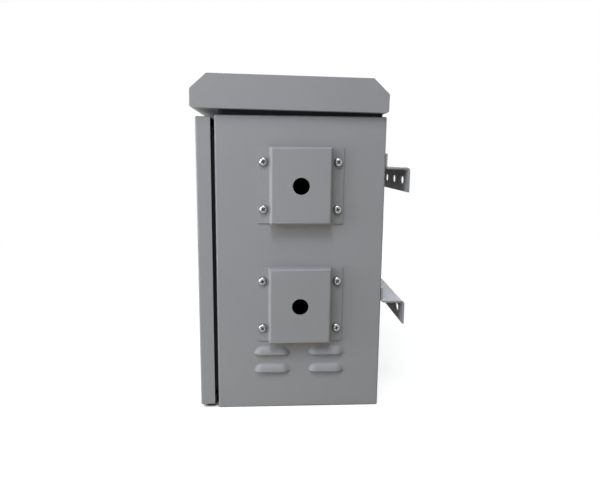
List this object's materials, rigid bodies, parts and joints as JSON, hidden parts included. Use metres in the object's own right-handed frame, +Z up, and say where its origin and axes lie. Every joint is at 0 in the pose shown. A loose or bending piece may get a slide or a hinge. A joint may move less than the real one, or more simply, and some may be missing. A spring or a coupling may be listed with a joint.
{
  "type": "roadside utility cabinet",
  "caption": "Painted sheet-steel outdoor cabinet with a rain hood, a lockable side-hung door, side cable-entry covers, louvres and slotted brackets for a pole or wall.",
  "frame": {"origin": "middle of the body's underside, where the cabinet can stand", "axes": "+Z up, -Y out of the door's face, +Y out of the rear wall with the brackets, +X out of the right wall with the cable covers"},
  "size_m": [0.324, 0.2872, 0.4499],
  "materials": {
    "grey_paint": "semi-matt light grey powder coat with a fine texture",
    "zinc": "bright zinc plate",
    "galvanised": "hot-dip galvanised steel with a faint spangle",
    "black_rubber": "matt black cellular rubber",
    "brass": "plain brass"
  },
  "bodies": {
    "cabinet": {"body_shell": "grey_paint", "hood": "grey_paint", "hood_seal": "black_rubber", "hood_bolts": "zinc", "hood_weld_nuts": "zinc", "upper_cable_cover": "grey_paint", "lower_cable_cover": "grey_paint", "upper_cover_screws": "zinc", "lower_cover_screws": "zinc", "cover_weld_nuts": "zinc", "upper_bracket": "grey_paint", "lower_bracket": "grey_paint", "bracket_bolts": "zinc", "bracket_washers": "zinc", "bracket_nuts": "zinc", "mounting_plate": "galvanised", "plate_standoffs": "zinc", "plate_nuts": "zinc", "earth_stud": "brass", "earth_nuts": "brass", "vent_screens": "galvanised", "door_seal": "black_rubber", "upper_hinge_frame_leaf": "zinc", "lower_hinge_frame_leaf": "zinc", "hinge_pins": "zinc", "hinge_washers": "brass", "hinge_frame_screws": "zinc", "hinge_frame_nuts": "zinc"},
    "door": {"door_panel": "grey_paint", "upper_hinge_door_leaf": "zinc", "lower_hinge_door_leaf": "zinc", "hinge_door_screws": "zinc", "hinge_door_nuts": "zinc", "lock_housing": "zinc", "lock_nut": "zinc"},
    "latch": {"lock_plug": "galvanised", "lock_cam": "zinc", "cam_screw": "zinc"}
  },
  "joints": [
    {"name": "door_hinge", "type": "hinge", "parent": "cabinet", "child": "door", "pos_m": [-0.1545, -0.1145, 0.2], "axis": [0, 0, -1], "range_deg": [0, 180]},
    {"name": "latch_turn", "type": "hinge", "parent": "door", "child": "latch", "pos_m": [0.102, -0.12, 0.20115], "axis": [0, 1, 0], "range_deg": [0, 90]}
  ]
}
